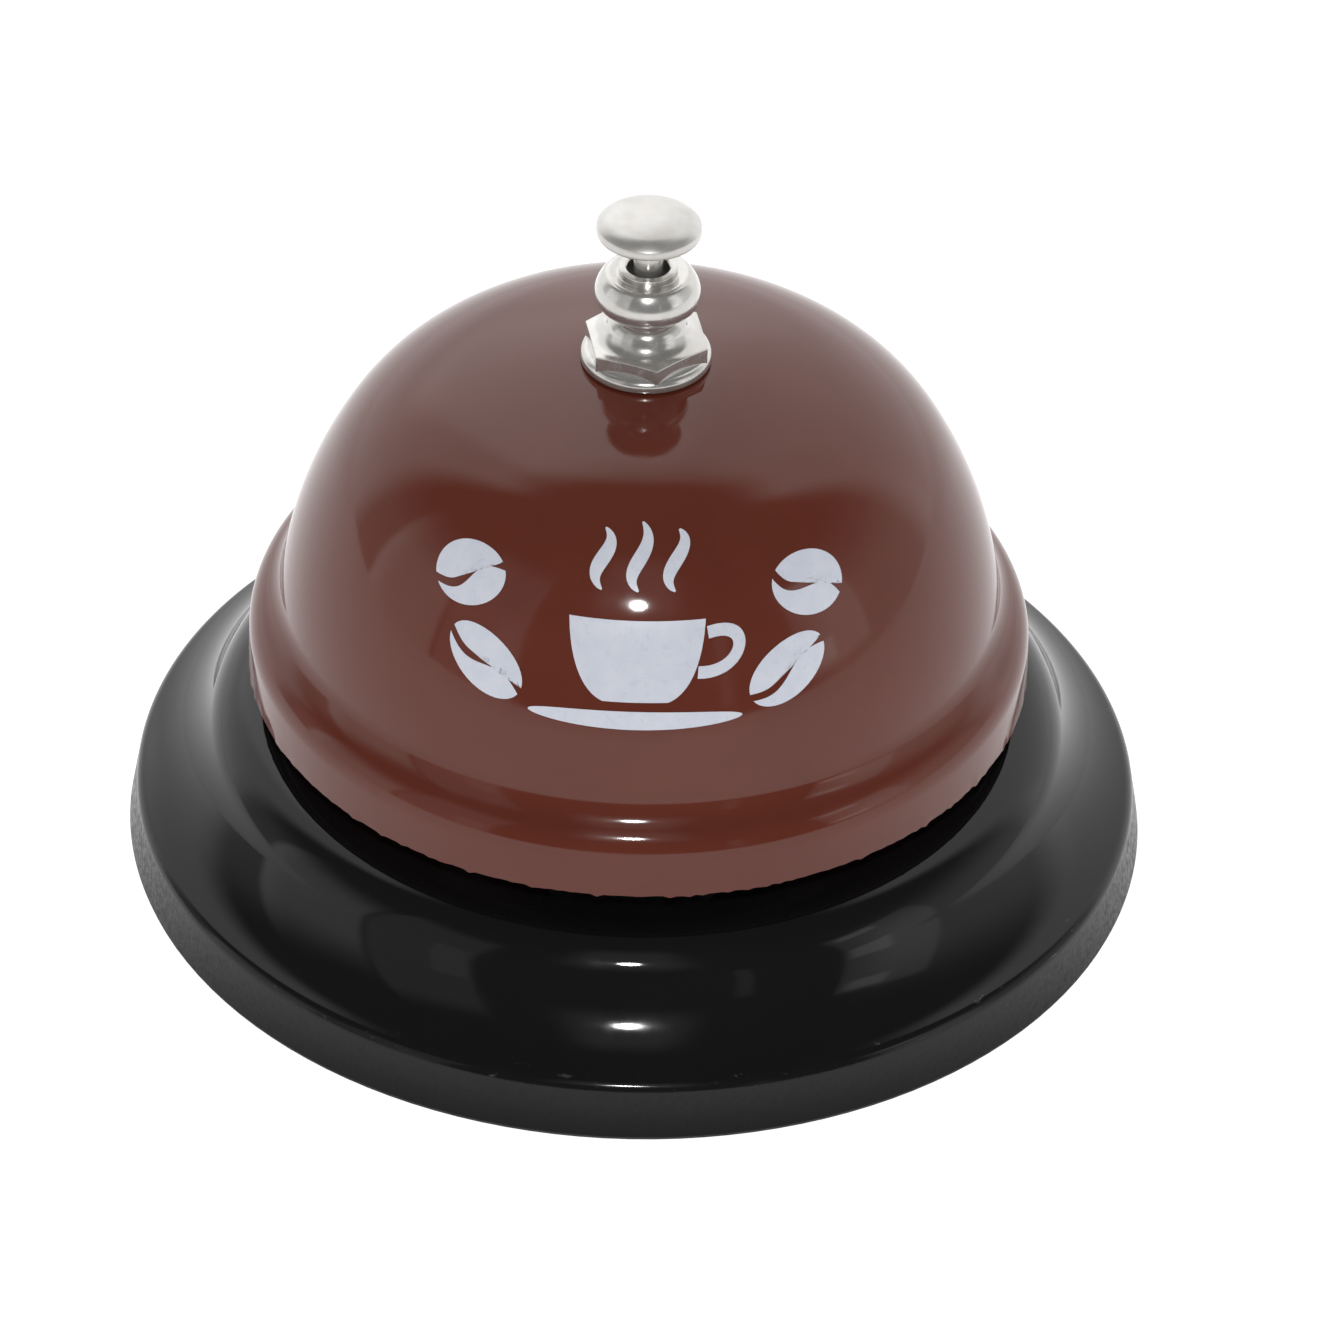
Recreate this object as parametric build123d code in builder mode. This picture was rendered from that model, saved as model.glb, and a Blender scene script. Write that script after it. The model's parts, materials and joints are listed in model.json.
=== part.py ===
from build123d import *
import os
from math import asin, atan2, cos, degrees, radians, sin, tan

# Service bell: a base pan carries a bridge, the bridge carries a hollow post, and the post holds the
# bell by its finial nut. The push button's rod runs down through the post and tips a bell crank,
# whose hammer then swings out to the bell's wall on the +X side.
# Millimetres, +Z up, origin in the middle of the underside.

# Base pan, pressed sheet, outline from the skirt's lower edge inwards
base_radius = 42.5
pan_sheet = 1.0
foot_proud = 0.3
skirt_lean = 9.8
skirt_top = 4.18
roll_radius = 1.19
roll_turn = 59.0
flare_radius = 10.19
flare_turn = 43.7
shoulder_radius = 5.27
mouth_radius = 20.4
mouth_bend = 1.6
mouth_lip = 1.2

# Rubber foot ring
foot_inner_radius = 38.6
foot_outer_radius = 42.35
foot_height = 3.0

# Bell, pressed sheet, outline from the seat at the top outwards
bell_sheet = 0.8
bell_seat_height = 46.3
bell_seat_radius = 5.4
crown_radius = 58.1
crown_slope = 14.5
haunch_radius = 17.6
haunch_slope = 58.9
wall_radius = 32.0
wall_slope = 82.0
waist_radius = 3.46
waist_slope = 35.5
lip_radius = 3.07
lip_slope = 88.1
rim_height = 16.81
rim_round = 0.25

# Bridge between base and post, bent sheet
bridge_sheet = 1.2
bridge_width = 14.0
bridge_top = 34.0
bridge_leg_inner = 20.0
bridge_foot_end = 27.2
bridge_inner_bend = 1.0
bridge_outer_bend = 2.0
bridge_corner = 2.0
rivet_spacing = (8.4, 48.8)
rivet_radius = 1.2
rivet_head_radius = 2.1
rivet_head_height = 0.9
rivet_head_round = 0.6

# Post with its studs
post_radius = 5.0
post_flats = 8.6
post_flats_bottom = 36.0
post_flats_height = 5.0
lower_stud_radius = 3.5
lower_stud_end = 28.2
upper_stud_radius = 2.5
upper_stud_end = 49.0
chamber_radius = 2.3
chamber_top = 42.4
post_nut_flats = 11.0
post_nut_height = 3.2
nut_bevel = 0.45
nut_bevel_width = 0.9
lock_washer_radius = 5.5
lock_washer_height = 1.0
lock_washer_slit = 0.8
bush_length = 3.0
stud_chamfer = 0.4

# Washers on both sides of the bell's seat
seat_washer_radius = 5.2
seat_washer_height = 0.8
top_washer_radius = 4.5
top_washer_height = 0.2
seat_hole_radius = 2.6

# Finial nut, from the top down: crest, bead, neck, ring, cove, hexagon and flange
finial_top = 55.3
finial_bore = 1.72
crest_radius = 2.36
crest_bottom = 54.65
crest_bevel = 0.1
bead_top_radius = 3.16
bead_top = 54.72
bead_shoulder_radius = 0.6
bead_shoulder_slope = 51.0
bead_side_radius = 3.14
bead_side_slope = 72.0
bead_belly_radius = 1.93
bead_belly_slope = 118.0
neck_radius = 2.49
neck_top = 51.7
neck_bottom = 50.62
ring_radius = 1.5
ring_start_slope = 30.0
ring_end_slope = 70.0
cove_radius = 1.75
cove_end_slope = 10.0
hex_flats = 9.08
hex_corner_angle = -79.4
flange_radius = 5.3
flange_height = 0.4
flange_round = 0.6

# Plunger: rod, stop collar and button
rod_radius = 1.2
rod_fit = 0.05
rod_tip = 27.2
rod_top = 59.2
collar_height = 1.2
collar_fit = 0.1
stop_gap = 0.1
button_top = 60.3
button_crown_radius = 12.5
button_crown_slope = 14.5
button_shoulder_radius = 2.1
button_shoulder_slope = 50.0
button_wall = (4.25, 58.8)
button_lower_edge = (4.24, 58.5)
button_hub = (1.9, 58.15)
button_hub_end = (1.5, 57.9)
spring_wire = 0.4
spring_radius = 1.83
spring_turns = 7.5
spring_gap = 0.05

# Striker: bell crank, hammer and its rivet, pivot in the bridge's ears
pivot = (10.0, 28.0)
pivot_radius = 1.0
pivot_fit = 0.05
ear_radius = 3.0
ear_gap = 6.4
pin_head_radius = 1.8
pin_head_height = 0.8
pin_end = 5.8
clip_radius = 2.2
clip_height = 0.6
clip_groove_radius = 0.7
spacer_radius = 1.9
lever_sheet = 2.0
lever_hub_radius = 2.4
lever_side_gap = 0.1
short_arm_length = 11.4
short_arm_height = 2.2
short_arm_round = 0.6
contact_gap = 0.12
hammer_radius = 3.6
hammer_centre = (23.7, 18.2)
hammer_slot_radius = 1.9
hammer_rivet_radius = 0.8
hammer_rivet_half_length = 3.7
hammer_rivet_round = 0.3

# Sizes that follow
bridge_under = bridge_top - bridge_sheet
finial_bottom = bell_seat_height + top_washer_height
bell_inner_seat = bell_seat_height - bell_sheet
post_shoulder = bell_inner_seat - seat_washer_height
bush_top = lower_stud_end + bush_length
collar_top = chamber_top - stop_gap
spring_top = collar_top - collar_height - spring_gap
ear_outer = ear_gap / 2 + bridge_sheet
short_arm_dip = degrees(atan2(pivot[1] - rod_tip + contact_gap, pivot[0]))


def heading(angle):
    """Direction in the profile plane, in degrees from outwards, turning up."""
    return (cos(radians(angle)), sin(radians(angle)))


os.makedirs("parts", exist_ok=True)

# Base pan: skirt, rolled edge, flare and shoulder up to a flat top with a lipped mouth
with BuildPart() as base_shell:
    with BuildSketch(Plane.XZ):
        with BuildLine():
            skirt_run = skirt_top * tan(radians(skirt_lean))
            skirt = Line((base_radius, 0), (base_radius - skirt_run, skirt_top))
            roll = JernArc(skirt @ 1, skirt % 1, roll_radius, roll_turn)
            flare = JernArc(roll @ 1, roll % 1, flare_radius, -flare_turn)
            shoulder_turn = 90 - skirt_lean - roll_turn + flare_turn
            shoulder = JernArc(flare @ 1, flare % 1, shoulder_radius, shoulder_turn)
            top = Line(shoulder @ 1, (mouth_radius + mouth_bend, (shoulder @ 1).Y))
            bend = JernArc(top @ 1, top % 1, mouth_bend, 90)
            Line(bend @ 1, (mouth_radius, (bend @ 1).Y - mouth_lip))
            offset(amount=pan_sheet, side=Side.LEFT)
        make_face()
    revolve(axis=Axis.Z)
    split(bisect_by=Plane.XY.offset(foot_proud), keep=Keep.TOP)
    pan_top = (shoulder @ 1).Y
    with BuildSketch(Plane.XY.offset(pan_top)):
        with GridLocations(*rivet_spacing, 2, 2):
            Circle(rivet_radius)
    extrude(amount=-pan_sheet, mode=Mode.SUBTRACT)
base_shell.part.label = "base_shell"
export_step(base_shell.part, "parts/base_shell.step")

# Foot ring: rubber, bonded inside the skirt, standing a little proud under its edge
with BuildPart() as foot_ring:
    skirt_inside = base_radius - pan_sheet / cos(radians(skirt_lean))
    lean = tan(radians(skirt_lean))
    with BuildSketch(Plane.XZ):
        with BuildLine():
            Polyline(
                (foot_inner_radius, 0),
                (foot_outer_radius, 0),
                (foot_outer_radius, foot_proud),
                (skirt_inside - foot_proud * lean, foot_proud),
                (skirt_inside - foot_height * lean, foot_height),
                (foot_inner_radius, foot_height),
                close=True,
            )
        make_face()
    revolve(axis=Axis.Z)
foot_ring.part.label = "foot_ring"
export_step(foot_ring.part, "parts/foot_ring.step")

# Bell: flat seat, crown, haunch, wall, hollow waist and flared lip
with BuildPart() as bell_dome:
    seat_slope = degrees(asin(bell_seat_radius / crown_radius))
    with BuildSketch(Plane.XZ):
        with BuildLine():
            seat = Line((seat_hole_radius, bell_seat_height), (bell_seat_radius, bell_seat_height))
            crown = JernArc(seat @ 1, heading(-seat_slope), crown_radius, seat_slope - crown_slope)
            haunch = JernArc(crown @ 1, crown % 1, haunch_radius, crown_slope - haunch_slope)
            wall = JernArc(haunch @ 1, haunch % 1, wall_radius, haunch_slope - wall_slope)
            waist = JernArc(wall @ 1, wall % 1, waist_radius, wall_slope - waist_slope)
            lip = JernArc(waist @ 1, waist % 1, lip_radius, waist_slope - lip_slope)
            band_height = (lip @ 1).Y - rim_height
            PolarLine(lip @ 1, band_height / sin(radians(lip_slope)), -lip_slope)
            offset(amount=bell_sheet, kind=Kind.INTERSECTION, side=Side.RIGHT)
        make_face()
    revolve(axis=Axis.Z)
    fillet(bell_dome.edges().group_by(Axis.Z)[0], radius=rim_round)
bell_dome.part.label = "bell_dome"
export_step(bell_dome.part, "parts/bell_dome.step")

# Bridge frame: a hat-shaped strip with a tab on the +X side, whose ears carry the pivot pin
with BuildPart() as bridge_frame:
    with BuildSketch(Plane.YZ):
        with BuildLine():
            FilletPolyline(
                (-bridge_foot_end, pan_top),
                (-bridge_leg_inner, pan_top),
                (-bridge_leg_inner, bridge_under),
                (bridge_leg_inner, bridge_under),
                (bridge_leg_inner, pan_top),
                (bridge_foot_end, pan_top),
                radius=[bridge_outer_bend, bridge_inner_bend, bridge_inner_bend, bridge_outer_bend],
            )
            offset(amount=bridge_sheet, side=Side.LEFT)
        make_face()
    extrude(amount=bridge_width / 2, both=True)
    foot_corners = bridge_frame.edges().filter_by(Axis.Z).group_by(Axis.Y)
    fillet(foot_corners[0] + foot_corners[-1], radius=bridge_corner)
    with BuildSketch(Plane.XZ):
        with Locations(pivot):
            Circle(ear_radius)
        with Locations((pivot[0], bridge_top)):
            Rectangle(2 * ear_radius, bridge_top - pivot[1], align=(Align.CENTER, Align.MAX))
    extrude(amount=ear_outer, both=True)
    with BuildSketch(Plane.XZ):
        with Locations((pivot[0], bridge_under)):
            Rectangle(2 * ear_radius, bridge_under - pivot[1] + ear_radius, align=(Align.CENTER, Align.MAX))
    extrude(amount=ear_gap / 2, both=True, mode=Mode.SUBTRACT)
    with BuildSketch(Plane.XZ):
        with Locations(pivot):
            Circle(pivot_radius)
    extrude(amount=ear_outer, both=True, mode=Mode.SUBTRACT)
    with BuildSketch(Plane.XY.offset(bridge_top)):
        Circle(lower_stud_radius)
    extrude(amount=-bridge_sheet, mode=Mode.SUBTRACT)
    with BuildSketch(Plane.XY.offset(pan_top)):
        with GridLocations(*rivet_spacing, 2, 2):
            Circle(rivet_radius)
    extrude(amount=bridge_sheet, mode=Mode.SUBTRACT)
bridge_frame.part.label = "bridge_frame"
export_step(bridge_frame.part, "parts/bridge_frame.step")

# Four rivets through the bridge's feet and the pan
with BuildPart() as bridge_rivets:
    shank_bottom = pan_top - pan_sheet
    shank_top = pan_top + bridge_sheet
    with BuildSketch(Plane.XY.offset(shank_bottom)):
        with GridLocations(*rivet_spacing, 2, 2):
            Circle(rivet_radius)
    extrude(amount=shank_top - shank_bottom)
    with BuildSketch(Plane.XY.offset(shank_top)):
        with GridLocations(*rivet_spacing, 2, 2):
            Circle(rivet_head_radius)
    extrude(amount=rivet_head_height)
    with BuildSketch(Plane.XY.offset(shank_bottom)):
        with GridLocations(*rivet_spacing, 2, 2):
            Circle(rivet_head_radius)
    extrude(amount=-rivet_head_height)
    fillet(bridge_rivets.edges().group_by(Axis.Z)[-1], radius=rivet_head_round)
    fillet(bridge_rivets.edges().group_by(Axis.Z)[0], radius=rivet_head_round)
bridge_rivets.part.label = "bridge_rivets"
export_step(bridge_rivets.part, "parts/bridge_rivets.step")

# Post: body with two spanner flats, lower and upper studs, spring chamber and rod guide
with BuildPart() as post:
    with BuildSketch(Plane.XZ):
        with BuildLine():
            Polyline(
                (0, lower_stud_end),
                (lower_stud_radius - stud_chamfer, lower_stud_end),
                (lower_stud_radius, lower_stud_end + stud_chamfer),
                (lower_stud_radius, bridge_top),
                (post_radius, bridge_top),
                (post_radius, post_shoulder),
                (upper_stud_radius, post_shoulder),
                (upper_stud_radius, upper_stud_end - stud_chamfer),
                (upper_stud_radius - stud_chamfer, upper_stud_end),
                (0, upper_stud_end),
                close=True,
            )
        make_face()
    revolve(axis=Axis.Z)
    with BuildSketch(Plane.XY.offset(post_flats_bottom)):
        Circle(post_radius)
        Rectangle(post_flats, 2 * post_radius, mode=Mode.SUBTRACT)
    extrude(amount=post_flats_height, mode=Mode.SUBTRACT)
    with BuildSketch(Plane.XY.offset(lower_stud_end)):
        Circle(chamber_radius)
    extrude(amount=chamber_top - lower_stud_end, mode=Mode.SUBTRACT)
    with BuildSketch(Plane.XY.offset(chamber_top)):
        Circle(rod_radius + rod_fit)
    extrude(amount=upper_stud_end - chamber_top, mode=Mode.SUBTRACT)
post.part.label = "post"
export_step(post.part, "parts/post.step")

# Spring lock washer under the bridge, with its slit
with BuildPart() as post_lock_washer:
    with BuildSketch(Plane.XY.offset(bridge_under)):
        Circle(lock_washer_radius)
        Circle(lower_stud_radius, mode=Mode.SUBTRACT)
        with Locations((-lock_washer_radius, 0)):
            Rectangle(2 * lower_stud_radius, lock_washer_slit, mode=Mode.SUBTRACT)
    extrude(amount=-lock_washer_height)
post_lock_washer.part.label = "post_lock_washer"
export_step(post_lock_washer.part, "parts/post_lock_washer.step")

# Hexagon nut under the bridge, its corners bevelled on both faces
with BuildPart() as post_nut:
    nut_top = bridge_under - lock_washer_height
    nut_bottom = nut_top - post_nut_height
    nut_corner = post_nut_flats / 2 / cos(radians(30))
    with BuildSketch(Plane.XY.offset(nut_bottom)):
        RegularPolygon(post_nut_flats / 2, 6, major_radius=False, rotation=30)
        Circle(lower_stud_radius, mode=Mode.SUBTRACT)
    extrude(amount=post_nut_height)
    with BuildSketch(Plane.XZ):
        with BuildLine():
            Polyline(
                (0, nut_bottom),
                (nut_corner - nut_bevel_width, nut_bottom),
                (nut_corner, nut_bottom + nut_bevel),
                (nut_corner, nut_top - nut_bevel),
                (nut_corner - nut_bevel_width, nut_top),
                (0, nut_top),
                close=True,
            )
        make_face()
    revolve(axis=Axis.Z, mode=Mode.INTERSECT)
post_nut.part.label = "post_nut"
export_step(post_nut.part, "parts/post_nut.step")

# Guide bush in the post's lower end
with BuildPart() as guide_bush:
    with BuildSketch(Plane.XY.offset(lower_stud_end)):
        Circle(chamber_radius)
        Circle(rod_radius + rod_fit, mode=Mode.SUBTRACT)
    extrude(amount=bush_length)
guide_bush.part.label = "guide_bush"
export_step(guide_bush.part, "parts/guide_bush.step")

# Fibre washer between the post's shoulder and the bell
with BuildPart() as dome_seat_washer:
    with BuildSketch(Plane.XY.offset(post_shoulder)):
        Circle(seat_washer_radius)
        Circle(seat_hole_radius, mode=Mode.SUBTRACT)
    extrude(amount=seat_washer_height)
dome_seat_washer.part.label = "dome_seat_washer"
export_step(dome_seat_washer.part, "parts/dome_seat_washer.step")

# Thin fibre washer between the bell and the finial nut
with BuildPart() as top_washer:
    with BuildSketch(Plane.XY.offset(bell_seat_height)):
        Circle(top_washer_radius)
        Circle(seat_hole_radius, mode=Mode.SUBTRACT)
    extrude(amount=top_washer_height)
top_washer.part.label = "top_washer"
export_step(top_washer.part, "parts/top_washer.step")

# Finial nut: round flange and hexagon under a turned cove, ring, neck and bead with a raised crest
with BuildPart() as finial_nut:
    flange_top = finial_bottom + flange_height
    hex_apothem = hex_flats / 2
    hex_corner = hex_apothem / cos(radians(30))
    with BuildSketch(Plane.XZ) as turned_top:
        with BuildLine():
            bead_crown = (bead_top_radius, bead_top)
            shoulder = JernArc(bead_crown, (1, 0), bead_shoulder_radius, -bead_shoulder_slope)
            side_turn = bead_side_slope - bead_shoulder_slope
            side = JernArc(shoulder @ 1, shoulder % 1, bead_side_radius, -side_turn)
            belly_turn = bead_belly_slope - bead_side_slope
            belly = JernArc(side @ 1, side % 1, bead_belly_radius, -belly_turn)
            neck = Polyline(belly @ 1, (neck_radius, neck_top), (neck_radius, neck_bottom))
            ring_turn = ring_end_slope - ring_start_slope
            ring = JernArc(neck @ 1, heading(-ring_start_slope), ring_radius, -ring_turn)
            cove = JernArc(ring @ 1, ring % 1, cove_radius, ring_end_slope - cove_end_slope)
            hex_top = (cove @ 1).Y
            Polyline(
                cove @ 1,
                (0, hex_top),
                (0, finial_top),
                (crest_radius - crest_bevel, finial_top),
                (crest_radius, finial_top - crest_bevel),
                (crest_radius, crest_bottom),
                bead_crown,
            )
        make_face()
    with BuildSketch(Plane.XY.offset(finial_bottom)):
        RegularPolygon(hex_corner, 6, rotation=hex_corner_angle)
    extrude(amount=hex_top - finial_bottom)
    with BuildSketch(Plane.XZ):
        with BuildLine():
            corner_drop = (hex_corner - (cove @ 1).X) * tan(radians(cove_end_slope))
            Polyline(
                (0, finial_bottom),
                (hex_corner, finial_bottom),
                (hex_corner, hex_top - corner_drop),
                cove @ 1,
                (0, hex_top),
                close=True,
            )
        make_face()
    revolve(axis=Axis.Z, mode=Mode.INTERSECT)
    with BuildSketch(Plane.XZ):
        with BuildLine():
            rim = Line((flange_radius, finial_bottom), (flange_radius, flange_top))
            edge = JernArc(rim @ 1, rim % 1, flange_round, 90)
            Polyline(edge @ 1, (0, (edge @ 1).Y), (0, finial_bottom), (flange_radius, finial_bottom))
        make_face()
    revolve(axis=Axis.Z)
    revolve(turned_top.sketch, axis=Axis.Z)
    with BuildSketch(Plane.XY.offset(finial_bottom)):
        Circle(upper_stud_radius)
    extrude(amount=upper_stud_end - finial_bottom, mode=Mode.SUBTRACT)
    with BuildSketch(Plane.XY.offset(upper_stud_end)):
        Circle(finial_bore)
    extrude(amount=finial_top - upper_stud_end, mode=Mode.SUBTRACT)
finial_nut.part.label = "finial_nut"
export_step(finial_nut.part, "parts/finial_nut.step")

# Plunger rod with a domed lower tip
with BuildPart() as plunger_rod:
    with BuildSketch(Plane.XZ):
        with BuildLine():
            tip = JernArc((0, rod_tip), (1, 0), rod_radius, 90)
            Polyline(tip @ 1, (rod_radius, rod_top), (0, rod_top), (0, rod_tip))
        make_face()
    revolve(axis=Axis.Z)
plunger_rod.part.label = "plunger_rod"
export_step(plunger_rod.part, "parts/plunger_rod.step")

# Stop collar pressed on the rod, under the chamber's end
with BuildPart() as plunger_collar:
    with BuildSketch(Plane.XY.offset(collar_top - collar_height)):
        Circle(chamber_radius - collar_fit)
        Circle(rod_radius, mode=Mode.SUBTRACT)
    extrude(amount=collar_height)
plunger_collar.part.label = "plunger_collar"
export_step(plunger_collar.part, "parts/plunger_collar.step")

# Push button: low crown, rounded shoulder, creased edge, short wall, and a hub with a blind hole
with BuildPart() as push_button:
    with BuildSketch(Plane.XZ):
        with BuildLine():
            crown = JernArc((0, button_top), (1, 0), button_crown_radius, -button_crown_slope)
            shoulder_turn = button_shoulder_slope - button_crown_slope
            shoulder = JernArc(crown @ 1, crown % 1, button_shoulder_radius, -shoulder_turn)
            wall = ThreePointArc(shoulder @ 1, button_wall, button_lower_edge)
            Polyline(wall @ 1, button_hub, button_hub_end, (0, button_hub_end[1]), (0, button_top))
        make_face()
    revolve(axis=Axis.Z)
    with BuildSketch(Plane.XY.offset(button_hub_end[1])):
        Circle(rod_radius)
    extrude(amount=rod_top - button_hub_end[1], mode=Mode.SUBTRACT)
push_button.part.label = "push_button"
export_step(push_button.part, "parts/push_button.step")

# Return spring between bush and collar, its ends ground flat
with BuildPart() as return_spring:
    spring_length = spring_top - bush_top
    pitch = spring_length / spring_turns
    with BuildLine():
        coil = Helix(pitch, spring_length, spring_radius, center=(0, 0, bush_top))
    with BuildSketch(Plane(coil @ 0, z_dir=coil % 0)):
        Circle(spring_wire / 2)
    sweep(path=coil, is_frenet=True)
    split(bisect_by=Plane.XY.offset(bush_top), keep=Keep.TOP)
    split(bisect_by=Plane.XY.offset(spring_top), keep=Keep.BOTTOM)
return_spring.part.label = "return_spring"
export_step(return_spring.part, "parts/return_spring.step")

# Bell crank: the short arm's upper edge points at the pivot, the long arm ends in the hammer's slot
with BuildPart() as striker_lever:
    with BuildSketch(Plane.XZ.offset(-lever_sheet / 2)) as lever_outline:
        with Locations(pivot):
            Circle(lever_hub_radius)
        with Locations(hammer_centre):
            Circle(hammer_slot_radius)
        make_hull()
        with Locations(Location((*pivot, 0), (0, 0, short_arm_dip))):
            Rectangle(short_arm_length, short_arm_height, align=(Align.MAX, Align.MAX))
        fillet(lever_outline.vertices().sort_by(Axis.X)[:2], radius=short_arm_round)
        with Locations(pivot):
            Circle(pivot_radius + pivot_fit, mode=Mode.SUBTRACT)
        with Locations(hammer_centre):
            Circle(hammer_rivet_radius, mode=Mode.SUBTRACT)
    extrude(amount=lever_sheet)
striker_lever.part.label = "striker_lever"
export_step(striker_lever.part, "parts/striker_lever.step")

# Hammer: a steel ball with a slot for the lever's end, and a cross hole for its rivet
with BuildPart() as hammer_head:
    with Locations((hammer_centre[0], 0, hammer_centre[1])):
        Sphere(hammer_radius)
    with BuildSketch(Plane.XZ):
        with Locations(pivot):
            Circle(lever_hub_radius)
        with Locations(hammer_centre):
            Circle(hammer_slot_radius)
        make_hull()
    extrude(amount=lever_sheet / 2, both=True, mode=Mode.SUBTRACT)
    with BuildSketch(Plane.XZ):
        with Locations(hammer_centre):
            Circle(hammer_rivet_radius)
    extrude(amount=hammer_radius, both=True, mode=Mode.SUBTRACT)
hammer_head.part.label = "hammer_head"
export_step(hammer_head.part, "parts/hammer_head.step")

# Rivet through the ball and the lever's end
with BuildPart() as hammer_rivet:
    with BuildSketch(Plane.XZ):
        with Locations(hammer_centre):
            Circle(hammer_rivet_radius)
    extrude(amount=hammer_rivet_half_length, both=True)
    fillet(hammer_rivet.edges().filter_by(GeomType.CIRCLE), radius=hammer_rivet_round)
hammer_rivet.part.label = "hammer_rivet"
export_step(hammer_rivet.part, "parts/hammer_rivet.step")

# Pivot pin: flat head against one ear, groove for its clip beyond the other
with BuildPart() as pivot_pin:
    with BuildSketch(Plane.XZ.offset(ear_outer)):
        with Locations(pivot):
            Circle(pin_head_radius)
    extrude(amount=pin_head_height)
    with BuildSketch(Plane.XZ.offset(ear_outer)):
        with Locations(pivot):
            Circle(pivot_radius)
    extrude(amount=-ear_outer - pin_end)
    with BuildSketch(Plane.XZ.offset(-ear_outer)):
        with Locations(pivot):
            Circle(pivot_radius)
            Circle(clip_groove_radius, mode=Mode.SUBTRACT)
    extrude(amount=-clip_height, mode=Mode.SUBTRACT)
pivot_pin.part.label = "pivot_pin"
export_step(pivot_pin.part, "parts/pivot_pin.step")

# E-clip in the pin's groove, open downwards
with BuildPart() as pivot_pin_clip:
    with BuildSketch(Plane.XZ.offset(-ear_outer)):
        with Locations(pivot):
            Circle(clip_radius)
            Circle(clip_groove_radius, mode=Mode.SUBTRACT)
            Rectangle(
                2 * clip_groove_radius,
                2 * clip_radius,
                align=(Align.CENTER, Align.MAX),
                mode=Mode.SUBTRACT,
            )
    extrude(amount=-clip_height)
pivot_pin_clip.part.label = "pivot_pin_clip"
export_step(pivot_pin_clip.part, "parts/pivot_pin_clip.step")

# Two spacer tubes on the pin, one on each side of the lever
with BuildPart() as lever_spacers:
    spacer_start = lever_sheet / 2 + lever_side_gap
    with BuildSketch(Plane.XZ.offset(spacer_start)):
        with Locations(pivot):
            Circle(spacer_radius)
            Circle(pivot_radius, mode=Mode.SUBTRACT)
    extrude(amount=ear_gap / 2 - spacer_start)
    mirror(about=Plane.XZ)
lever_spacers.part.label = "lever_spacers"
export_step(lever_spacers.part, "parts/lever_spacers.step")
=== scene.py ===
import json
from math import acos, cos, degrees, pi, radians, sin, sqrt, tan

import bmesh
import bpy
from mathutils import Matrix, Vector, noise


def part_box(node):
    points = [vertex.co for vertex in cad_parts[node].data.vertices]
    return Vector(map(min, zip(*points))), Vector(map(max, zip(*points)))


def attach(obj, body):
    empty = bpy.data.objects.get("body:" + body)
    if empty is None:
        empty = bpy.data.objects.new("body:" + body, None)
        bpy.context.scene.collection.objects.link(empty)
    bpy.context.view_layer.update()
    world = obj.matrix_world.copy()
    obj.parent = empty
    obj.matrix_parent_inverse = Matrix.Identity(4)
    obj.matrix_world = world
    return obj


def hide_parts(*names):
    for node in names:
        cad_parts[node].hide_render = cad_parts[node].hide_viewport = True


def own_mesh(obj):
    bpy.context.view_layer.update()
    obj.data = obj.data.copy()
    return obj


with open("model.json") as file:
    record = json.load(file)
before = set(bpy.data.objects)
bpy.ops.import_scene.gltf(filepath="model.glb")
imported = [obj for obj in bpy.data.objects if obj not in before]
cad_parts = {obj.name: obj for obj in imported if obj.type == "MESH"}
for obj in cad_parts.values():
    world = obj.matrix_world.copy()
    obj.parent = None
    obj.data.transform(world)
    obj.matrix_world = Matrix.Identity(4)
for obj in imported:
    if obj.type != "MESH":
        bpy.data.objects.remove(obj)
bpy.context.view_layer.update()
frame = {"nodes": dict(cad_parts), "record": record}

MM = 0.001
nodes = frame["nodes"]


def cad_height(node, end):
    """Lowest (0) or highest (1) point of a CAD node, in millimetres."""
    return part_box(node)[end].z / MM


def cad_radius(node):
    """Reach of a round CAD node from the axis, in millimetres."""
    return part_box(node)[1].x / MM


# ---------------------------------------------------------------- camera

CAMERA_ELEVATION = radians(37.386)
CAMERA_ROLL = radians(1.659)
CAMERA_DISTANCE = 0.5945
CAMERA_AIM = Vector((2.58, 0, 14.91)) * MM
CAMERA_FOCAL_LENGTH = 192.4


def make_camera():
    """The camera looks down along +Y at the middle of the bell, rolled a little."""
    back = Vector((0, -cos(CAMERA_ELEVATION), sin(CAMERA_ELEVATION)))
    right = Vector((1, 0, 0))
    up = back.cross(right)
    rolled_right = right * cos(CAMERA_ROLL) + up * sin(CAMERA_ROLL)
    rolled_up = up * cos(CAMERA_ROLL) - right * sin(CAMERA_ROLL)
    data = bpy.data.cameras.new("photo_camera")
    data.lens = CAMERA_FOCAL_LENGTH
    camera = bpy.data.objects.new("photo_camera", data)
    place = Matrix((rolled_right, rolled_up, back)).transposed().to_4x4()
    place.translation = CAMERA_AIM + back * CAMERA_DISTANCE
    camera.matrix_world = place
    bpy.context.collection.objects.link(camera)
    bpy.context.scene.camera = camera


# ---------------------------------------------------------------- outlines and turned shells

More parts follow.
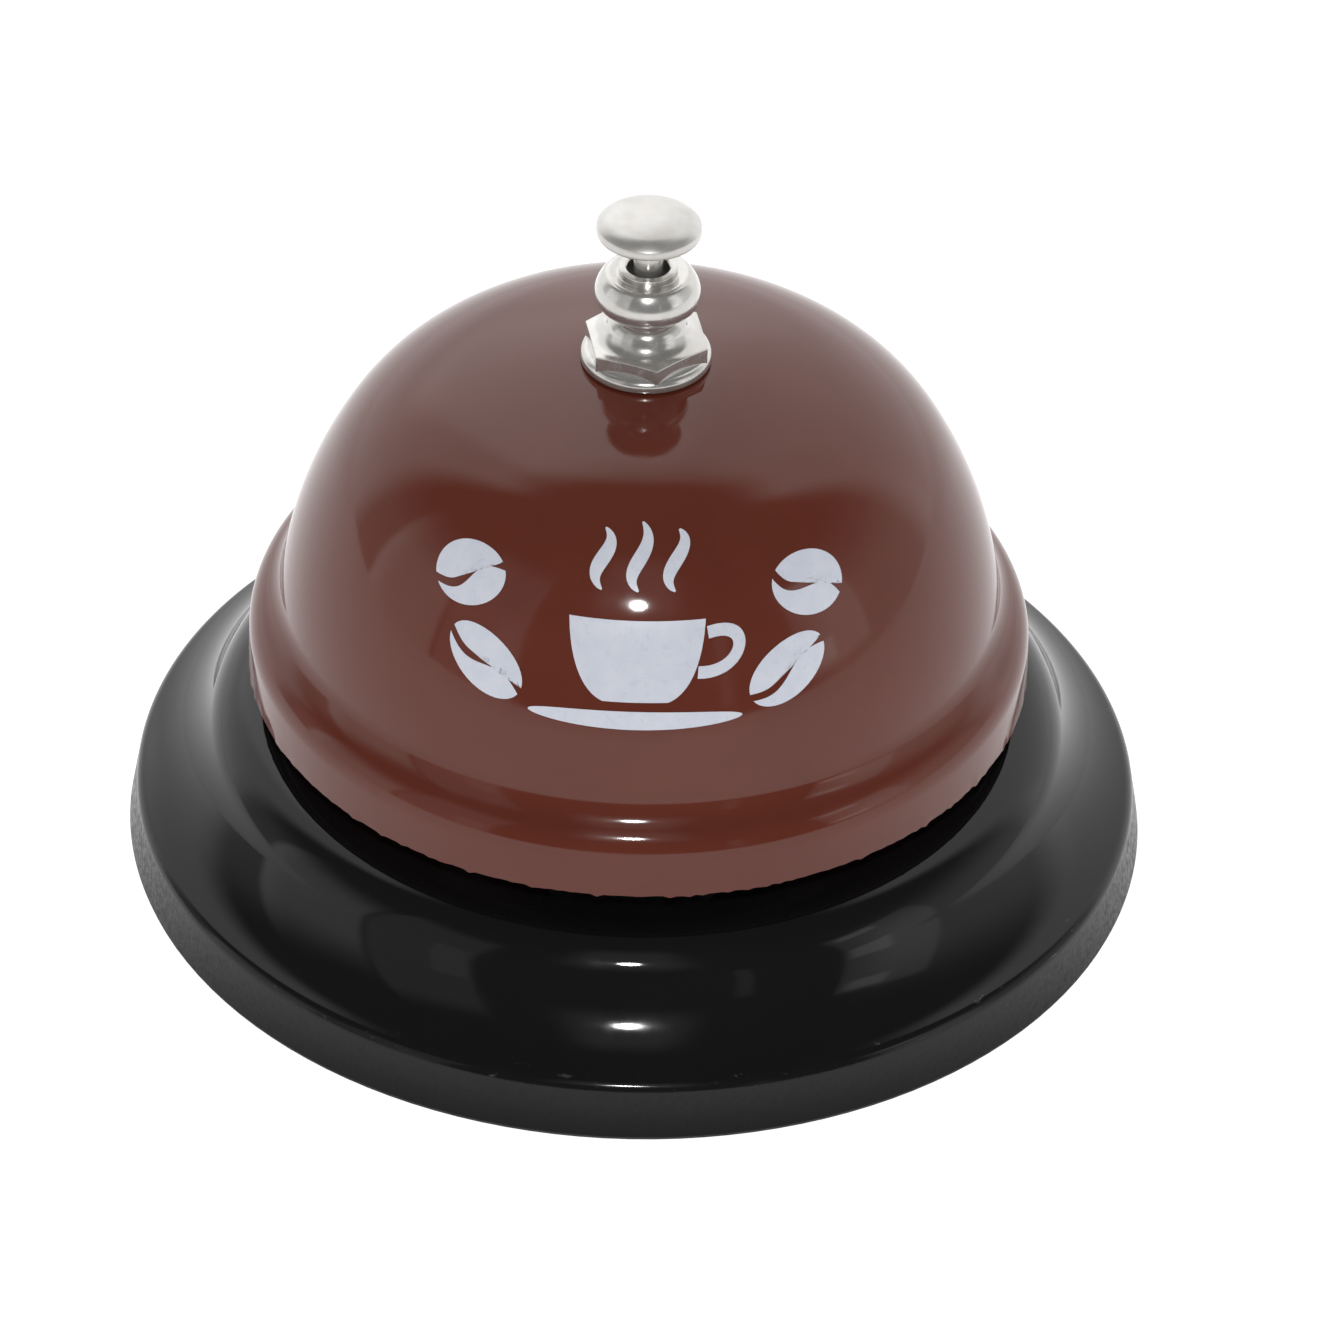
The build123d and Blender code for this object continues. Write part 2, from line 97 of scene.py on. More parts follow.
class Outline:
    """A chain of tangent lines and arcs in the plane of radius and height, in millimetres."""

    def __init__(self, radius, height, heading):
        self.here = Vector((radius, height))
        self.heading = radians(heading)
        self.marks = [(self.here.copy(), self.heading)]

    def line(self, length, steps=1):
        """Goes straight on, in this many equal steps."""
        step = Vector((cos(self.heading), sin(self.heading))) * (length / steps)
        for _ in range(steps):
            self.here = self.here + step
            self.marks.append((self.here.copy(), self.heading))
        return self

    def arc(self, radius, turn, step):
        """Turns by this many degrees, left if positive, with a point about every step degrees."""
        side = 1 if turn > 0 else -1
        centre = self.here + side * radius * Vector((-sin(self.heading), cos(self.heading)))
        steps = max(2, round(abs(turn) / step))
        for _ in range(steps):
            self.heading += radians(turn) / steps
            self.here = centre - side * radius * Vector((-sin(self.heading), cos(self.heading)))
            self.marks.append((self.here.copy(), self.heading))
        return self

    def face(self, heading):
        """Changes direction at a corner."""
        self.heading = radians(heading)
        return self

    def points(self, depth=0.0):
        """The points, moved this far to the right of the way along."""
        return [p + depth * Vector((sin(h), -cos(h))) for p, h in self.marks]

    def along(self, distance):
        """(radius, height, heading) after this distance along the chain."""
        for (p, h), (q, k) in zip(self.marks, self.marks[1:]):
            gap = (q - p).length
            if distance <= gap:
                t = distance / gap
                spot = p.lerp(q, t)
                return spot.x, spot.y, h + (k - h) * t
            distance -= gap
        raise ValueError("past the end of the outline")


def add_object(name, mesh, material, body, slot, *replaced):
    """Puts a mesh in the scene as a piece that rides on a body."""
    obj = bpy.data.objects.new(name, mesh)
    bpy.context.collection.objects.link(obj)
    mesh.materials.append(material)
    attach(obj, body)
    if replaced:
        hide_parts(*replaced)
    return obj


def ring_mesh(name, columns, angles, sharp):
    """Joins closed columns of (radius, height) points in millimetres, one at each angle.

    Points on the axis are shared by all columns. Edges sharper than this many degrees stay sharp.
    """
    mesh = bpy.data.meshes.new(name)
    work = bmesh.new()
    poles = {}
    grid = []
    for column, angle in zip(columns, angles):
        corners = []
        for j, (radius, height) in enumerate(column):
            if radius == 0 and j in poles:
                corners.append(poles[j])
                continue
            spot = (radius * MM * cos(angle), radius * MM * sin(angle), height * MM)
            corner = work.verts.new(spot)
            if radius == 0:
                poles[j] = corner
            corners.append(corner)
        grid.append(corners)
    for here, there in zip(grid, grid[1:] + grid[:1]):
        for j, (a, d) in enumerate(zip(here, there)):
            k = (j + 1) % len(here)
            b, c = here[k], there[k]
            corners = list(dict.fromkeys((a, b, c, d)))
            if len(corners) > 2:
                work.faces.new(corners)
    bmesh.ops.recalc_face_normals(work, faces=work.faces[:])
    work.to_mesh(mesh)
    work.free()
    mesh.shade_smooth()
    mesh.set_sharp_from_angle(angle=radians(sharp))
    return mesh


def turned_mesh(name, outline, segments, sharp=35, wobble=None):
    """Revolves a closed outline in millimetres.

    wobble(radius, height, angle) may move a point a little.
    """
    angles = [2 * pi * i / segments for i in range(segments)]
    if wobble is None:
        columns = [outline] * segments
    else:
        columns = [[wobble(r, z, angle) for r, z in outline] for angle in angles]
    return ring_mesh(name, columns, angles, sharp)


BELL_SHEET = 0.8
BELL_HOLE_RADIUS = 2.6
BELL_SEAT_RADIUS = 5.4
BELL_SEAT_HEIGHT = cad_height("bell_dome", 1)
SEAT_FOLD = 0.07
PAINT_EDGE_HEIGHT = 1.1

# Degrees by which the bell's outer side falls below level where its arcs meet, from the seat down.
SEAT_SLOPE = 5.33
CROWN_SLOPE = 14.5
HAUNCH_SLOPE = 58.9
WALL_SLOPE = 82.0
WAIST_SLOPE = 35.5
RIM_SLOPE = 88.1

CROWN_RADIUS = 58.1
HAUNCH_RADIUS = 17.6
WALL_RADIUS = 32.0
WAIST_RADIUS = 3.46
LIP_RADIUS = 3.07


def bell_outline():
    """The bell's outer side from the edge of its seat to the rim."""
    outline = Outline(BELL_SEAT_RADIUS, BELL_SEAT_HEIGHT, -SEAT_SLOPE)
    outline.arc(CROWN_RADIUS, SEAT_SLOPE - CROWN_SLOPE, 0.8)
    outline.arc(HAUNCH_RADIUS, CROWN_SLOPE - HAUNCH_SLOPE, 1.8)
    outline.arc(WALL_RADIUS, HAUNCH_SLOPE - WALL_SLOPE, 1.3)
    outline.arc(WAIST_RADIUS, WALL_SLOPE - WAIST_SLOPE, 2.4)
    outline.arc(LIP_RADIUS, WAIST_SLOPE - RIM_SLOPE, 2.4)
    rim = cad_height("bell_dome", 0)
    outline.line((outline.here.y - rim) / sin(radians(RIM_SLOPE)), 12)
    return outline


def round_edge(start, end, steps=6):
    """Points of a half round from one sheet face to the other, both faces included."""
    middle, half = (start + end) / 2, (end - start) / 2
    across = Vector((half.y, -half.x))
    turns = (pi * i / steps for i in range(steps + 1))
    return [middle - half * cos(t) + across * sin(t) for t in turns]


def make_bell(material):
    """The bell: seat, crown, haunch, wall, waist and lip, with a beaded paint edge round the rim."""
    outline = bell_outline()
    outer = outline.points()
    inner = outline.points(BELL_SHEET)
    seat_underside = BELL_SEAT_HEIGHT - BELL_SHEET
    inner[0] = Vector((BELL_SEAT_RADIUS - SEAT_FOLD, seat_underside))
    hole = [Vector((BELL_HOLE_RADIUS, z)) for z in (seat_underside, BELL_SEAT_HEIGHT)]
    edge = round_edge(outer[-1], inner[-1])
    profile = hole + outer[:-1] + edge + inner[-2::-1]
    rim = outer[-1].y

    def paint_edge(radius, height, angle):
        """Uneven beads of paint along the rim, with a few sharper burrs that hang from it."""
        near_rim = max(0.0, 1 - (height - rim) / PAINT_EDGE_HEIGHT)
        around = Vector((cos(angle), sin(angle), 0))
        bead = noise.noise(around * 22) + 0.6 * noise.noise(around * 55 + Vector((7, 3, 1)))
        burr = max(0.0, noise.noise(around * 80 + Vector((2, 9, 4))) - 0.1)
        out = 0.05 * bead + 0.15 * burr
        down = 0.09 * max(0.0, bead) + 0.35 * burr
        return radius + out * near_rim, height - down * near_rim**2

    mesh = turned_mesh("bell_shell", profile, 384, wobble=paint_edge)
    return add_object("bell_shell", mesh, material, "base", "brown_enamel", "bell_dome")


PAN_SHEET = 1.0
SKIRT_TOP = 4.18
SKIRT_LEAN = 9.8
ROLL_RADIUS = 1.19
ROLL_TURN = 59.0
FLARE_RADIUS = 10.19
FLARE_TURN = 43.7
SHOULDER_RADIUS = 5.27
MOUTH_BEND_START = 22.0
MOUTH_BEND_RADIUS = 1.6
MOUTH_LIP = 1.2


def make_base(material):
    """The base pan: skirt, rolled edge, flare, shoulder, flat top and the mouth's turned-in lip."""
    foot = cad_height("base_shell", 0)
    outline = Outline(cad_radius("base_shell"), foot, 90 + SKIRT_LEAN)
    outline.line((SKIRT_TOP - foot) / cos(radians(SKIRT_LEAN)), 10)
    outline.arc(ROLL_RADIUS, ROLL_TURN, 2.5)
    outline.arc(FLARE_RADIUS, -FLARE_TURN, 1.5)
    outline.arc(SHOULDER_RADIUS, 90 - SKIRT_LEAN - ROLL_TURN + FLARE_TURN, 2.0)
    outline.line(outline.here.x - MOUTH_BEND_START, 10)
    outline.arc(MOUTH_BEND_RADIUS, 90, 5.0)
    outline.line(MOUTH_LIP)
    outer, inner = outline.points(), outline.points(-PAN_SHEET)
    inner[0] = Vector((inner[0].x, foot))
    profile = inner[::-1] + outer
    mesh = turned_mesh("base_pan", profile, 384)
    return add_object("base_pan", mesh, material, "base", "black_enamel", "base_shell")


HEX_FLATS = 9.08
HEX_CORNER_ANGLE = -79.4
HEX_EDGE = 0.07
FLANGE_RADIUS = cad_radius("finial_nut")
FLANGE_HEIGHT = 0.4
FLANGE_ROUND = 0.6
STUD_RADIUS = 2.5
STUD_TOP = cad_height("post", 1)
BORE_RADIUS = 1.72
BORE_CHAMFER = 0.12
CREST_RADIUS = 2.28
CREST_FOOT = 54.72
LEDGE_RADIUS = 3.16
NECK_RADIUS = 2.49
COVE_TOP = 50.62
COVE_END_SLOPE = 10


def finial_top_outline():
    """The turned upper part of the finial nut, from the crest down to the end of its cove."""
    outline = Outline(BORE_RADIUS, cad_height("finial_nut", 1) - BORE_CHAMFER, 45)
    outline.line(BORE_CHAMFER * sqrt(2))
    # Crest round the bore, and the ledge below it.
    outline.face(0).line(CREST_RADIUS - outline.here.x, 3)
    outline.arc(0.08, -90, 15).line(outline.here.y - CREST_FOOT)
    outline.arc(0.07, 98, 20).line(LEDGE_RADIUS - outline.here.x, 4)
    # Bead, its soft lower edge and its sloping underside.
    outline.face(0).arc(0.6, -51, 3).arc(3.14, -21, 1.5).arc(1.93, -46, 2)
    outline.arc(0.08, -58, 15)
    outline.face(-170).line(outline.here.x - NECK_RADIUS, 4)
    # Neck, ring and cove.
    outline.face(-90).line(outline.here.y - COVE_TOP, 2)
    outline.face(-30).arc(1.5, -40, 2).arc(1.75, 70 - COVE_END_SLOPE, 2)
    return outline


def hexagon_radius(turn):
    """Radius of the hexagon at this angle from the middle of a flat, with its corner softened."""
    inner = (HEX_FLATS / 2 - HEX_EDGE) / cos(pi / 6)
    aside = inner * sin(pi / 6 - abs(turn))
    flat = HEX_FLATS / 2 / cos(turn)
    if aside >= HEX_EDGE * sin(pi / 6):
        return flat
    return inner * cos(pi / 6 - abs(turn)) + sqrt(HEX_EDGE**2 - aside**2)


def arc_points(centre, radius, start, end, steps):
    """Points on an arc in the plane of radius and height, both ends included."""
    turns = (radians(start + (end - start) * i / steps) for i in range(steps + 1))
    return [(centre[0] + radius * cos(t), centre[1] + radius * sin(t)) for t in turns]


def run(start, end, steps):
    """Evenly spaced points from start up to, but not including, end."""
    return [tuple(a + (b - a) * i / steps for a, b in zip(start, end)) for i in range(steps)]


def make_finial(material):
    """The finial nut: bead, ring and cove over a hexagon, whose flats run down into a flange."""
    turned = [(p.x, p.y) for p in finial_top_outline().points()]
    bottom = cad_height("finial_nut", 0)
    flange_centre = (FLANGE_RADIUS - FLANGE_ROUND, bottom + FLANGE_HEIGHT)

    def column(turn):
        """The nut's closed section at this angle from the middle of a flat."""
        flat = hexagon_radius(turn)
        edge = flat - HEX_EDGE
        edge_top = turned[-1][1] - (edge - turned[-1][0]) * tan(radians(COVE_END_SLOPE))
        points = turned[:-1] + run(turned[-1], (edge, edge_top), 3)
        points += arc_points((edge, edge_top - HEX_EDGE), HEX_EDGE, 90 - COVE_END_SLOPE, 0, 3)
        start = degrees(acos(max(0.0, (flat - flange_centre[0]) / FLANGE_ROUND)))
        meeting = flange_centre[1] + FLANGE_ROUND * sin(radians(start))
        points += run((flat, edge_top - 2 * HEX_EDGE), (flat, meeting), 5)
        points.append((flat, meeting))
        points += arc_points(flange_centre, FLANGE_ROUND, start - 3, 0, 12)
        points += arc_points((FLANGE_RADIUS - HEX_EDGE, bottom + HEX_EDGE), HEX_EDGE, 0, -90, 3)
        return points + [(STUD_RADIUS, bottom), (STUD_RADIUS, STUD_TOP), (BORE_RADIUS, STUD_TOP)]

    # The columns crowd together towards the corners of the hexagon, where its edge bends.
    half = 28
    turns = []
    for i in range(-half, half):
        sign = 1 if i > 0 else -1
        turns.append(sign * pi / 6 * (1 - (1 - abs(i) / half) ** 2))
    columns, angles = [], []
    for side in range(6):
        middle = radians(HEX_CORNER_ANGLE + 30 + 60 * side)
        columns += [column(turn) for turn in turns]
        angles += [middle + turn for turn in turns]
    mesh = ring_mesh("finial", columns, angles, 40)
    return add_object("finial", mesh, material, "base", "nickel_plate", "finial_nut")


BUTTON_CROWN_RADIUS = 12.5
BUTTON_SHOULDER_RADIUS = 2.1
BUTTON_CREASE_RADIUS = 0.06
BUTTON_WALL_RADIUS = 1.32
BUTTON_LOWER_EDGE_RADIUS = 0.1
BUTTON_UNDERSIDE_HEADING = -172
HUB_RADIUS = 2.0
HUB_FILLET = 0.4
HUB_TIP_WIDTH = 0.12
HUB_TIP_BEVEL = 0.02


def make_button(material):
    """The push button: low crown, rounded shoulder, creased edge, short wall and hub."""
    hub_end = cad_height("push_button", 0)
    rod, rod_end = cad_radius("plunger_rod"), cad_height("plunger_rod", 1)
    outline = Outline(0, cad_height("push_button", 1), 0)
    outline.arc(BUTTON_CROWN_RADIUS, -14.5, 1)
    outline.arc(BUTTON_SHOULDER_RADIUS, -33, 2)
    outline.arc(BUTTON_CREASE_RADIUS, -24, 6)
    outline.arc(BUTTON_WALL_RADIUS, -28, 3)
    outline.arc(BUTTON_LOWER_EDGE_RADIUS, -72, 12)
    outline.face(BUTTON_UNDERSIDE_HEADING).line(outline.here.x - HUB_RADIUS, 6)
    outline.arc(HUB_FILLET, 50, 8)
    tip = [Vector((rod + HUB_TIP_WIDTH, hub_end + HUB_TIP_BEVEL)), Vector((rod, hub_end))]
    rod_hole = [Vector((rod, rod_end)), Vector((0, rod_end))]
    profile = outline.points() + tip + rod_hole
    mesh = turned_mesh("button", profile, 256, sharp=40)
    return add_object("button", mesh, material, "plunger", "nickel_plate", "push_button")


SPRING_WIRE_RADIUS = 0.2
SPRING_RADIUS = cad_radius("return_spring") - SPRING_WIRE_RADIUS
SPRING_TURNS = 7.5


def make_spring(material, steps=48, sides=12):
    """The return spring, its ends ground flat.

    steps is the number of points per turn, and sides the number round the wire.
    """
    bottom, top = cad_height("return_spring", 0), cad_height("return_spring", 1)
    mesh = bpy.data.meshes.new("coil_spring")
    work = bmesh.new()
    rings = []
    last = round(SPRING_TURNS * steps)
    for i in range(last + 1):
        turn = 2 * pi * i / steps
        middle = bottom + (top - bottom) * i / last
        ring = []
        for k in range(sides):
            around = 2 * pi * k / sides
            radius = SPRING_RADIUS + SPRING_WIRE_RADIUS * cos(around)
            height = min(max(middle + SPRING_WIRE_RADIUS * sin(around), bottom), top)
            spot = (radius * MM * cos(turn), radius * MM * sin(turn), height * MM)
            ring.append(work.verts.new(spot))
        rings.append(ring)
    for here, there in zip(rings, rings[1:]):
        for k in range(sides):
            n = (k + 1) % sides
            work.faces.new((here[k], there[k], there[n], here[n]))
    work.faces.new(rings[0])
    work.faces.new(rings[-1])
    bmesh.ops.recalc_face_normals(work, faces=work.faces[:])
    work.to_mesh(mesh)
    work.free()
    mesh.shade_smooth()
    mesh.set_sharp_from_angle(angle=radians(50))
    spring = add_object("coil_spring", mesh, material, "base", "spring_steel", "return_spring")
    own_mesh(spring)
    return spring


# ---------------------------------------------------------------- materials

class Surface:
    """A principled material whose colour, roughness and bump come from noise in object space.

    gloss is the strength of the mirror-like reflection, 0.5 for ordinary paint and plastic.
    """

    def __init__(self, name, colour, metallic=0.0, roughness=0.4, gloss=0.5):
        self.material = bpy.data.materials.new(name)
        self.material.use_nodes = True
        self.tree = self.material.node_tree
        self.shader = self.tree.nodes["Principled BSDF"]
        self.shader.inputs["Base Color"].default_value = (*colour, 1)
        self.shader.inputs["Metallic"].default_value = metallic
        self.shader.inputs["Roughness"].default_value = roughness
        self.shader.inputs["Specular IOR Level"].default_value = gloss
        self.place = self.tree.nodes.new("ShaderNodeTexCoord").outputs["Object"]
        self.normal = None

    def node(self, kind, **settings):
        """A new shader node with these settings."""
        made = self.tree.nodes.new(kind)
        for key, value in settings.items():
            setattr(made, key, value)
        return made

    def link(self, source, target):
        self.tree.links.new(source, target)

    def noise(self, size, detail=4.0, rough=0.55, stretch=(1, 1, 1)):
        """Noise whose features are about this many millimetres."""
        mapping = self.node("ShaderNodeMapping")
        mapping.inputs["Scale"].default_value = stretch
        texture = self.node("ShaderNodeTexNoise")
        texture.inputs["Scale"].default_value = 1 / (size * MM)
        texture.inputs["Detail"].default_value = detail
        texture.inputs["Roughness"].default_value = rough
        self.link(self.place, mapping.inputs["Vector"])
        self.link(mapping.outputs["Vector"], texture.inputs["Vector"])
        return texture.outputs["Fac"]

    def ramp(self, value, low, high, to_low=0.0, to_high=1.0):
        """Maps low..high smoothly to to_low..to_high."""
        ranged = self.node("ShaderNodeMapRange", interpolation_type="SMOOTHSTEP")
        ranged.inputs["From Min"].default_value = low
        ranged.inputs["From Max"].default_value = high
        ranged.inputs["To Min"].default_value = to_low
        ranged.inputs["To Max"].default_value = to_high
        self.link(value, ranged.inputs["Value"])
        return ranged.outputs["Result"]

    def times(self, value_a, value_b):
        """The product of two values."""
        product = self.node("ShaderNodeMath", operation="MULTIPLY")
        self.link(value_a, product.inputs[0])
        self.link(value_b, product.inputs[1])
        return product.outputs[0]

    def height(self):
        """Height above the foot, in millimetres."""
        split = self.node("ShaderNodeSeparateXYZ")
        self.link(self.place, split.inputs[0])
        scaled = self.node("ShaderNodeMath", operation="DIVIDE")
        scaled.inputs[1].default_value = MM
        self.link(split.outputs["Z"], scaled.inputs[0])
        return scaled.outputs[0]

    def blend(self, factor, value_a, value_b):
        """value_a where the factor is 0, value_b where it is 1."""
        mixer = self.node("ShaderNodeMix")
        self.link(factor, mixer.inputs["Factor"])
        for socket, value in ((mixer.inputs["A"], value_a), (mixer.inputs["B"], value_b)):
            if isinstance(value, float):
                socket.default_value = value
            else:
                self.link(value, socket)
        return mixer.outputs["Result"]

    def mix(self, factor, colour_a, colour_b):
        """colour_a where the factor is 0, colour_b where it is 1."""
        mixer = self.node("ShaderNodeMix", data_type="RGBA")
        self.link(factor, mixer.inputs["Factor"])
        for socket, colour in ((mixer.inputs["A"], colour_a), (mixer.inputs["B"], colour_b)):
            if isinstance(colour, tuple):
                socket.default_value = (*colour, 1)
            else:
                self.link(colour, socket)
        return mixer.outputs["Result"]

    def colour(self, value):
        self.link(value, self.shader.inputs["Base Color"])

    def roughness(self, value):
        self.link(value, self.shader.inputs["Roughness"])

    def patches(self, colour_a, colour_b, size, detail=4.0):
        """Lets the colour drift between two shades, in patches of about this many millimetres."""
        self.colour(self.mix(self.ramp(self.noise(size, detail), 0.3, 0.7), colour_a, colour_b))

    def wear(self, smooth, dull, size, detail):
        """Lets the roughness drift between two values, in patches of about this many millimetres."""
        self.roughness(self.ramp(self.noise(size, detail), 0.3, 0.8, smooth, dull))

    def bump(self, value, depth):
        """Adds this many millimetres of relief on top of what is there."""
        relief = self.node("ShaderNodeBump")
        relief.inputs["Distance"].default_value = depth * MM
        self.link(value, relief.inputs["Height"])
        if self.normal:
            self.link(self.normal, relief.inputs["Normal"])
        self.normal = relief.outputs["Normal"]
        self.link(self.normal, self.shader.inputs["Normal"])


def brown_enamel():
    """Sprayed gloss enamel: even colour, faint orange peel, smudges in the gloss."""
    s = Surface("brown_enamel", (0.112, 0.0235, 0.013), roughness=0.1, gloss=0.38)
    s.patches((0.107, 0.022, 0.012), (0.117, 0.025, 0.014), 9)
    s.roughness(s.ramp(s.noise(5, 6), 0.35, 0.75, 0.06, 0.13))
    s.bump(s.noise(1.6, 1.0), 0.002)
    return s.material


def black_enamel():
    """Thin black gloss: glassy on top, dull, dusty and finely pitted on the skirt towards its edge.
    Painted highlight streaks mixed with scuffs on the rolled edge, and painted shade where the skirt
    reflects less towards its foot.
    """
    s = Surface("black_enamel", (0.0055, 0.0055, 0.0058), roughness=0.08, gloss=0.27)
    # 1 on the skirt, fading out over the rolled edge.
    skirt = s.ramp(s.height(), 3.6, 5.0, 1.0, 0.0)
    smear = s.ramp(s.noise(4, 6), 0.35, 0.75, 0.05, 0.11)
    dust = s.ramp(s.noise(0.5, 5), 0.3, 0.8, 0.25, 0.5)
    # Painted highlight: pale streaks on the rolled edge, partly scuffs in the paint and partly a painted
    # glint along the edge.
    rolled_edge = s.times(s.ramp(s.height(), 4.2, 4.6), s.ramp(s.height(), 5.0, 5.4, 1.0, 0.0))
    streak_noise = s.noise(1.6, 7, 0.62, stretch=(1, 1, 4))
    scuffs_and_highlight_streaks = s.times(rolled_edge, s.ramp(streak_noise, 0.63, 0.7, 0.0, 0.5))
    paint = s.mix(s.noise(12), (0.0045, 0.0045, 0.0048), (0.0065, 0.0065, 0.0069))
    # The pale grey laid over the paint here is the painted highlight of the streaks on the rolled edge.
    s.colour(s.mix(scuffs_and_highlight_streaks, paint, (0.10, 0.10, 0.095)))
    s.roughness(s.blend(skirt, smear, dust))
    # Painted shade: the paint reflects less towards the foot of the skirt, so the skirt darkens towards
    # the floor.
    s.link(s.ramp(s.height(), 0.3, 4.6, 0.14, 0.27), s.shader.inputs["Specular IOR Level"])
    s.bump(s.noise(1.4, 1.0), 0.002)
    s.bump(s.blend(skirt, 0.0, s.noise(0.25, 2.0)), 0.02)
    return s.material


def plated(name, smooth, dull):
    """Nickel over brass: soft sheen of the plating under fine turning marks, with a hard bright glint."""
    s = Surface(name, (0.54, 0.525, 0.50), metallic=0.76, roughness=smooth)
    s.patches((0.51, 0.49, 0.46), (0.57, 0.56, 0.54), 2.5)
    s.roughness(s.ramp(s.noise(1.0, 6), 0.35, 0.8, smooth, dull))
    s.shader.inputs["Coat Weight"].default_value = 1.0
    s.shader.inputs["Coat Roughness"].default_value = 0.02
    s.bump(s.noise(0.35, 3.0), 0.002)
    s.bump(s.noise(0.6, 1.0, stretch=(0.1, 0.1, 2.0)), 0.003)
    return s.material


def nickel_plate():
    """The finial nut and the rod, bright."""
    return plated("nickel_plate", 0.17, 0.32)


def rubbed_nickel():
    """The button, dulled by fingers."""
    return plated("rubbed_nickel", 0.34, 0.44)


def zinc_plate():
    """Dull bluish plating with paler patches, on the bridge, lever, nut and spacers."""
    s = Surface("zinc_plate", (0.62, 0.63, 0.65), metallic=1.0, roughness=0.35)
    s.patches((0.52, 0.54, 0.57), (0.68, 0.68, 0.66), 3)
    s.wear(0.25, 0.5, 1.2, 6)
    s.bump(s.noise(0.3, 4.0), 0.006)
    return s.material


def turned_steel():
    """Bare steel with fine marks round the axis."""
    s = Surface("turned_steel", (0.5, 0.5, 0.5), metallic=1.0, roughness=0.3)
    s.patches((0.42, 0.42, 0.43), (0.58, 0.57, 0.56), 2)
    s.wear(0.2, 0.42, 0.8, 5)
    s.bump(s.noise(0.25, 3.0, stretch=(0.15, 0.15, 3)), 0.008)
    return s.material


def spring_steel():
    """Dark drawn wire, and the stamped lock washer and clip."""
    s = Surface("spring_steel", (0.35, 0.35, 0.37), metallic=1.0, roughness=0.32)
    s.patches((0.28, 0.28, 0.31), (0.42, 0.41, 0.40), 1.5)
    s.wear(0.22, 0.45, 0.5, 5)
    return s.material


def bush_brass():
    """Plain turned brass, a little tarnished."""
    s = Surface("bush_brass", (0.6, 0.42, 0.16), metallic=1.0, roughness=0.3)
    s.patches((0.5, 0.33, 0.12), (0.68, 0.5, 0.22), 1.5)
    s.wear(0.22, 0.45, 0.5, 5)
    return s.material


def foot_rubber():
    """Matt black rubber with a fine grain."""
    s = Surface("foot_rubber", (0.02, 0.02, 0.02), roughness=0.7)
    s.patches((0.015, 0.015, 0.015), (0.03, 0.029, 0.028), 3)
    s.wear(0.6, 0.85, 0.8, 5)
    s.bump(s.noise(0.25, 3.0), 0.02)
    return s.material


def fibre():
    """Red-brown vulcanised fibre, mottled and rough."""
    s = Surface("fibre", (0.16, 0.05, 0.03), roughness=0.7)
    s.patches((0.12, 0.04, 0.025), (0.22, 0.08, 0.05), 0.6, 5)
    s.bump(s.noise(0.2, 4.0), 0.02)
    return s.material


def white_print():
    """Bluish white ink, thinly laid."""
    s = Surface("white_print", (0.60, 0.62, 0.70), roughness=0.35)
    s.patches((0.57, 0.60, 0.68), (0.62, 0.64, 0.71), 1.5, 6)
    s.wear(0.25, 0.5, 0.6, 5)
    s.bump(s.noise(0.3, 3.0), 0.004)
    return s.material


# ---------------------------------------------------------------- print on the bell

PRINT_THICKNESS = 0.03
PRINT_TOP_SLOPE = 49.3
PRINT_DROP = 1.9
PRINT_HALF_WIDTH = 19
PRINT_HALF_HEIGHT = 10
PRINT_CELLS_PER_MM = 2

# Halves of the bean's length, its width and its furrow's width, and the furrow's swing to each side.
BEAN_LENGTH = 3.5
BEAN_WIDTH = 2.35
FURROW_WIDTH = 0.32
FURROW_SWAY = 0.55


def bezier(a, b, c, d, steps=16):
    """Points of a cubic curve, both ends included."""
    a, b, c, d = (Vector(p) for p in (a, b, c, d))
    result = []
    for i in range(steps + 1):
        t = i / steps
        s = 1 - t
        result.append(a * s**3 + b * (3 * s * s * t) + c * (3 * s * t * t) + d * t**3)
    return result


def band(path, width):
    """A stroke along a path whose width, as a function of 0..1 along it, may taper."""
    left, right = [], []
    for i, p in enumerate(path):
        ahead, behind = path[min(i + 1, len(path) - 1)], path[max(i - 1, 0)]
        way = (ahead - behind).normalized()
        half = Vector((-way.y, way.x)) * (width(i / (len(path) - 1)) / 2)
        left.append(p + half)
        right.append(p - half)
    return left + right[::-1]


def ellipse(centre, radii, steps=48):
    """Points round an ellipse."""
    turns = (2 * pi * i / steps for i in range(steps))
    return [Vector((centre[0] + radii[0] * cos(t), centre[1] + radii[1] * sin(t))) for t in turns]


def cup_shapes():
    """A cup on a saucer with three wisps of steam."""
    right = bezier((5.4, 0.6), (5.3, -2.6), (4.4, -5.2), (2.6, -5.9))
    cup = [Vector((-p.x, p.y)) for p in right[::-1]] + right
    handle = bezier((5.6, -0.5), (9.4, 0.4), (8.9, -4.0), (4.9, -3.6), 24)
    saucer = ellipse((0, -7.4), (8.6, 0.75))
    shapes = [cup[::-1], band(handle, lambda t: 1.0), saucer]
    for foot, tip in ((-2.9, 8.0), (0.0, 8.7), (2.9, 8.0)):
        wisp = bezier((foot, 2.9), (foot - 1.9, 4.6), (foot + 1.9, 6.2), (foot + 0.2, tip), 24)
        shapes.append(band(wisp, lambda t: 0.15 + sin(pi * t) ** 0.7))
    return shapes


def bean_shapes(centre, turn):
    """A coffee bean in two halves, parted by an S-shaped furrow."""
    turns = [pi * i / 24 for i in range(1, 24)]
    places = [BEAN_LENGTH * (-0.93 + 1.86 * i / 20) for i in range(21)]
    shapes = []
    for side in (1, -1):
        rim = [Vector((BEAN_LENGTH * cos(t), side * BEAN_WIDTH * sin(t))) for t in turns]
        bend = [Vector((x, FURROW_SWAY * sin(pi * x / BEAN_LENGTH) + side * FURROW_WIDTH)) for x in places]
        shapes.append(rim + bend)
    spin = Matrix.Rotation(radians(turn), 2)
    return [[spin @ p + Vector(centre) for p in shape] for shape in shapes]


